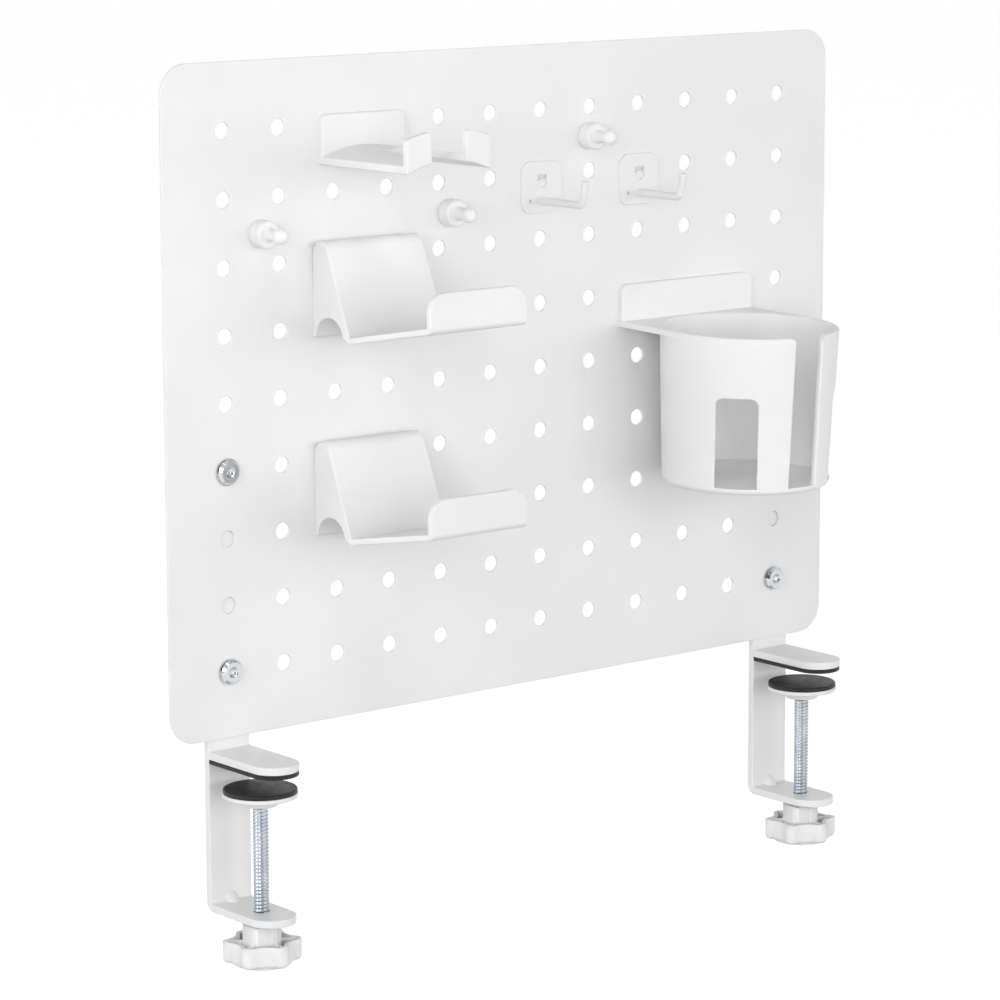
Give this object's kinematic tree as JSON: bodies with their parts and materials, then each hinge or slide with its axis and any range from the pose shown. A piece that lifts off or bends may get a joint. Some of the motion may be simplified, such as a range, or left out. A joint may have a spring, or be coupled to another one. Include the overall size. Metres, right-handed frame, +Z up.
{
  "type": "clamp-on desk pegboard organizer",
  "caption": "Flat white pegboard on two desk clamps, with phone rests, a headphone hanger, a slotted cup holder, small hooks and magnetic pins.",
  "frame": {"origin": "centre of the hole grid on the front face of the board", "axes": "+X to the right seen from the front, +Y to the back of the board, +Z up"},
  "size_m": [0.334, 0.0832, 0.3379],
  "materials": {
    "white_steel": "fine satin powder coat, white",
    "white_plastic": "smooth satin white moulding",
    "black_rubber": "smooth matt black",
    "zinc_steel": "bright zinc plate",
    "bright_steel": "polished",
    "magnet": "nickel plate"
  },
  "bodies": {
    "board": {"pegboard": "white_steel", "bracket_left": "white_steel", "upper_jaw_left": "white_steel", "jaw_pad_left": "black_rubber", "bolt_left_top": "bright_steel", "washer_left_top": "bright_steel", "nut_left_top": "zinc_steel", "bolt_left_low": "bright_steel", "washer_left_low": "bright_steel", "nut_left_low": "zinc_steel", "bracket_right": "white_steel", "upper_jaw_right": "white_steel", "jaw_pad_right": "black_rubber", "bolt_right_top": "bright_steel", "washer_right_top": "bright_steel", "nut_right_top": "zinc_steel", "bolt_right_low": "bright_steel", "washer_right_low": "bright_steel", "nut_right_low": "zinc_steel"},
    "thrust_left": {"ball_stud_left": "zinc_steel"},
    "screw_left": {"clamp_screw_left": "zinc_steel", "clamp_knob_left": "white_plastic"},
    "pad_left": {"swivel_dish_left": "white_steel", "rubber_disc_left": "black_rubber"},
    "thrust_right": {"ball_stud_right": "zinc_steel"},
    "screw_right": {"clamp_screw_right": "zinc_steel", "clamp_knob_right": "white_plastic"},
    "pad_right": {"swivel_dish_right": "white_steel", "rubber_disc_right": "black_rubber"},
    "phone_rest_upper": {"phone_rest_upper": "white_plastic"},
    "phone_rest_lower": {"phone_rest_lower": "white_plastic"},
    "headphone_hanger": {"headphone_hanger": "white_plastic"},
    "cup_holder": {"cup_holder": "white_plastic"},
    "hook_left": {"hook_plate_left": "white_steel", "hook_rod_left": "white_steel"},
    "hook_right": {"hook_plate_right": "white_steel", "hook_rod_right": "white_steel"},
    "pin_1": {"pin_cap_1": "white_plastic", "pin_magnet_1": "magnet"},
    "pin_2": {"pin_cap_2": "white_plastic", "pin_magnet_2": "magnet"},
    "pin_3": {"pin_cap_3": "white_plastic", "pin_magnet_3": "magnet"}
  },
  "joints": [
    {"name": "clamp_left_feed", "type": "slide", "parent": "board", "child": "thrust_left", "axis": [0, 0, 1], "range_m": [-0.0392, 0.00168]},
    {"name": "clamp_left_spin", "type": "hinge", "parent": "thrust_left", "child": "screw_left", "pos_m": [-0.1397, -0.0184, -0.18], "axis": [0, 0, 1], "range_deg": [-10081, 433]},
    {"name": "clamp_left_tilt", "type": "hinge", "parent": "thrust_left", "child": "pad_left", "pos_m": [-0.1397, -0.0184, -0.1482], "axis": [1, 0, 0], "range_deg": [-4, 4]},
    {"name": "clamp_right_feed", "type": "slide", "parent": "board", "child": "thrust_right", "axis": [0, 0, 1], "range_m": [-0.0392, 0.00168]},
    {"name": "clamp_right_spin", "type": "hinge", "parent": "thrust_right", "child": "screw_right", "pos_m": [0.1397, -0.0184, -0.18], "axis": [0, 0, 1], "range_deg": [-10081, 433]},
    {"name": "clamp_right_tilt", "type": "hinge", "parent": "thrust_right", "child": "pad_right", "pos_m": [0.1397, -0.0184, -0.1482], "axis": [1, 0, 0], "range_deg": [-4, 4]},
    {"name": "phone_rest_upper_pull", "type": "slide", "parent": "board", "child": "phone_rest_upper", "axis": [0, -1, 0], "range_m": [0, 0.03]},
    {"name": "phone_rest_lower_pull", "type": "slide", "parent": "board", "child": "phone_rest_lower", "axis": [0, -1, 0], "range_m": [0, 0.03]},
    {"name": "headphone_hanger_pull", "type": "slide", "parent": "board", "child": "headphone_hanger", "axis": [0, -1, 0], "range_m": [0, 0.03]},
    {"name": "cup_holder_pull", "type": "slide", "parent": "board", "child": "cup_holder", "axis": [0, -1, 0], "range_m": [0, 0.03]},
    {"name": "hook_left_pull", "type": "slide", "parent": "board", "child": "hook_left", "axis": [0, -1, 0], "range_m": [0, 0.03]},
    {"name": "hook_right_pull", "type": "slide", "parent": "board", "child": "hook_right", "axis": [0, -1, 0], "range_m": [0, 0.03]},
    {"name": "pin_1_pull", "type": "slide", "parent": "board", "child": "pin_1", "axis": [0, -1, 0], "range_m": [0, 0.03]},
    {"name": "pin_2_pull", "type": "slide", "parent": "board", "child": "pin_2", "axis": [0, -1, 0], "range_m": [0, 0.03]},
    {"name": "pin_3_pull", "type": "slide", "parent": "board", "child": "pin_3", "axis": [0, -1, 0], "range_m": [0, 0.03]}
  ],
  "couplings": [
    {"joint": "clamp_left_spin", "follows": "clamp_left_feed", "rad_per_m": 4488},
    {"joint": "clamp_right_spin", "follows": "clamp_right_feed", "rad_per_m": 4488}
  ]
}
